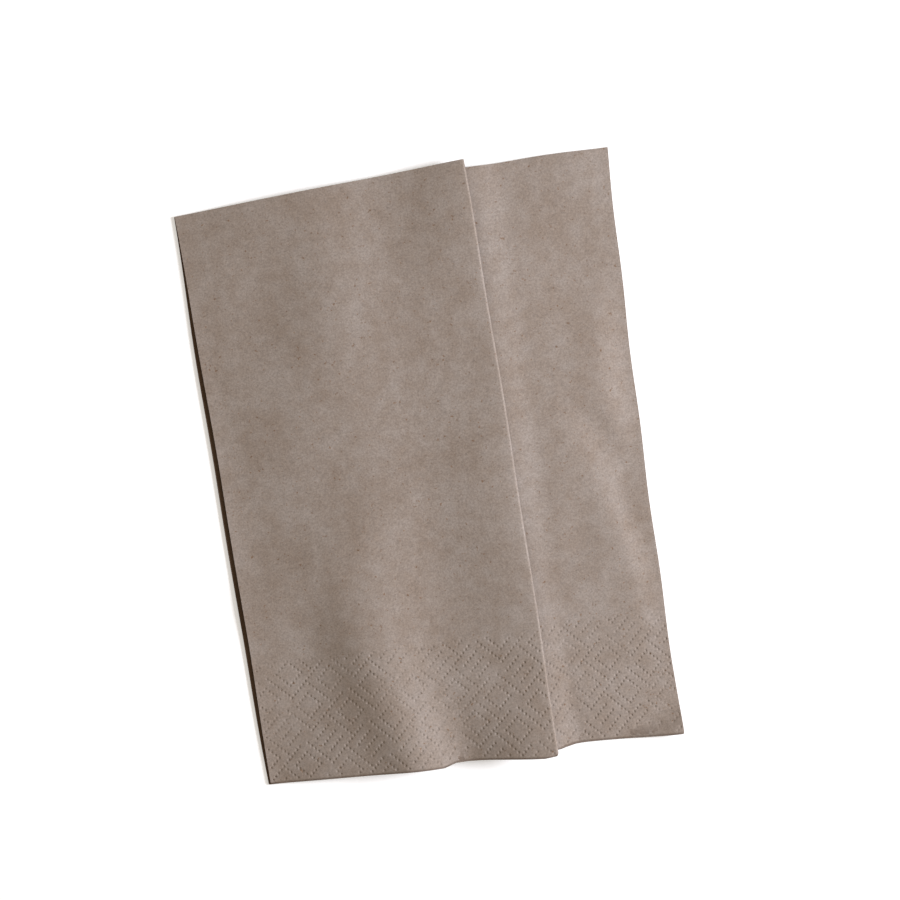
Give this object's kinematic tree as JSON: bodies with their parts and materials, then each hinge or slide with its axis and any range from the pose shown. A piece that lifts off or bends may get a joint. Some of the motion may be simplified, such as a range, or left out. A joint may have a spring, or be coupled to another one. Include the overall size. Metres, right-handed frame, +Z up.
{
  "type": "paper napkin",
  "caption": "Brown kraft tissue napkin folded in quarters and pleated once, so that a narrow strip shows beside the wide panel, with dotted diamonds embossed along the lower edge.",
  "frame": {"origin": "middle of the footprint, on the surface that the napkin lies on", "axes": "+Z up off the table, +Y along the napkin towards the fold that closes its top, +X across the pleat from the free left edge to the folded right edge"},
  "size_m": [0.1446, 0.2, 0.0063],
  "materials": {
    "kraft_tissue": "unbleached two-ply tissue, matte and softly mottled, with an embossed border of dots"
  },
  "bodies": {
    "root": {"napkin": "kraft_tissue"}
  },
  "joints": []
}
